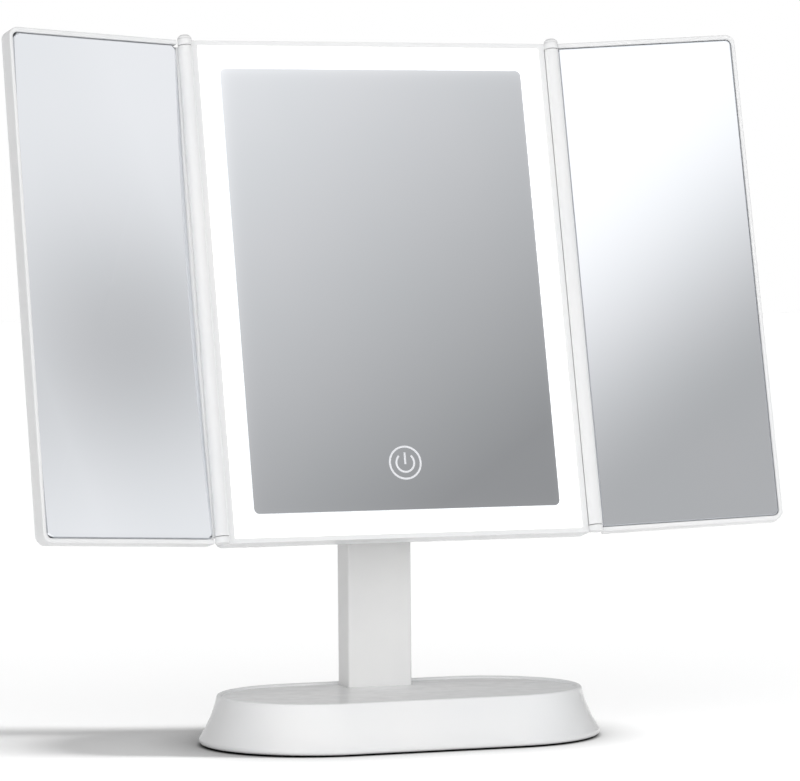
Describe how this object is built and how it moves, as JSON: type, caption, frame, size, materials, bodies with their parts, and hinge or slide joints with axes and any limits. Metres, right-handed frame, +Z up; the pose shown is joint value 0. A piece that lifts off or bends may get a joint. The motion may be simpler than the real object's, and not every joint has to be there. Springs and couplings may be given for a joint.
{
  "type": "trifold vanity mirror",
  "caption": "Free-standing lighted vanity mirror: a tilting centre mirror with a light band, folding wing mirrors on side hinges, a stem and a weighted stadium base with a shallow tray.",
  "frame": {"origin": "on the surface the base stands on, below the middle of the base", "axes": "+X to the viewer's right, along the base; +Y away from the viewer, towards the stem; +Z up"},
  "size_m": [0.3626, 0.111, 0.3313],
  "materials": {
    "white_plastic": "gloss, moulded",
    "opal_diffuser": "opal, lit from behind",
    "mirror_glass": "silvered",
    "foam_tape": "closed-cell foam",
    "steel": "zinc plated",
    "ballast_steel": "mill finish",
    "grey_rubber": "moulded",
    "circuit_board": "solder mask",
    "led_white": "phosphor",
    "chip_black": "moulded",
    "spring_metal": "nickel plated",
    "cell_wrap": "printed sleeve, plain",
    "wire_red": "insulated",
    "acetal": "moulded",
    "etched_glass": "etched"
  },
  "bodies": {
    "stand": {"base_shell": "white_plastic", "base_plate": "white_plastic", "ballast_plate": "ballast_steel", "foot_pad": "grey_rubber", "base_screws": "steel", "stem_tube": "white_plastic", "stem_foot": "steel", "foot_screws": "steel", "stem_yoke": "white_plastic", "tilt_bolt": "steel", "tilt_nut": "steel", "friction_washers": "steel", "pivot_caps": "white_plastic"},
    "head": {"front_frame": "white_plastic", "rear_housing": "white_plastic", "light_diffuser": "opal_diffuser", "centre_mirror": "mirror_glass", "mirror_tape": "foam_tape", "mirror_chassis": "white_plastic", "led_board": "circuit_board", "led_chips": "led_white", "control_board": "circuit_board", "board_components": "chip_black", "board_screws": "steel", "charging_inlet": "steel", "touch_spring": "spring_metal", "touch_symbol": "etched_glass", "battery_cells": "cell_wrap", "battery_contacts": "spring_metal", "tilt_bracket": "white_plastic", "bracket_screws": "steel", "housing_screws": "steel", "hinge_pins": "steel", "hinge_caps": "white_plastic", "wiring": "wire_red"},
    "door": {"battery_door": "white_plastic"},
    "left_wing": {"wing_frame_left": "white_plastic", "wing_back_left": "white_plastic", "wing_mirror_left": "mirror_glass", "wing_pad_left": "foam_tape", "hinge_bushes_left": "acetal"},
    "right_wing": {"wing_frame_right": "white_plastic", "wing_back_right": "white_plastic", "wing_mirror_right": "mirror_glass", "wing_pad_right": "foam_tape", "hinge_bushes_right": "acetal"}
  },
  "joints": [
    {"name": "head_tilt", "type": "hinge", "parent": "stand", "child": "head", "pos_m": [0, 0.03638, 0.2014], "axis": [-1, 0, 0], "range_deg": [-13.2, 21.8]},
    {"name": "left_wing_fold", "type": "hinge", "parent": "head", "child": "left_wing", "pos_m": [-0.0915, 0.00771, 0.21141], "axis": [0, 0.2284, 0.9736], "range_deg": [-12.7, 167.3]},
    {"name": "right_wing_fold", "type": "hinge", "parent": "head", "child": "right_wing", "pos_m": [0.0915, 0.00771, 0.21141], "axis": [0, -0.2284, -0.9736], "range_deg": [-12.7, 167.3]},
    {"name": "door_lift", "type": "slide", "parent": "head", "child": "door", "axis": [0, 0.9736, -0.2284], "range_m": [0, 0.015]}
  ]
}
